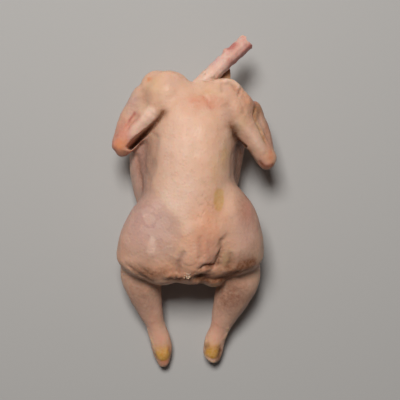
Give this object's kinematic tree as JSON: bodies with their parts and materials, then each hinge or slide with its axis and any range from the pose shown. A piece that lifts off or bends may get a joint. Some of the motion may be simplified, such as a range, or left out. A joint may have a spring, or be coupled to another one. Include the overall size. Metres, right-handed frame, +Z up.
{
  "type": "whole raw chicken",
  "caption": "Whole raw plucked chicken lying on its breast with its back up, wings folded, drumsticks stretched out behind and a bare cut neck bent to one side.",
  "frame": {"origin": "on the flat patch of the breast that the bird rests on, under the middle of its body", "axes": "+Z up from the table, +Y along the back from the tail to the neck, +X to the bird's right"},
  "size_m": [0.191, 0.3928, 0.1184],
  "materials": {
    "skin": "moist, soft satin",
    "bare_flesh": "wet satin"
  },
  "bodies": {
    "root": {"chicken": "skin"}
  },
  "joints": []
}
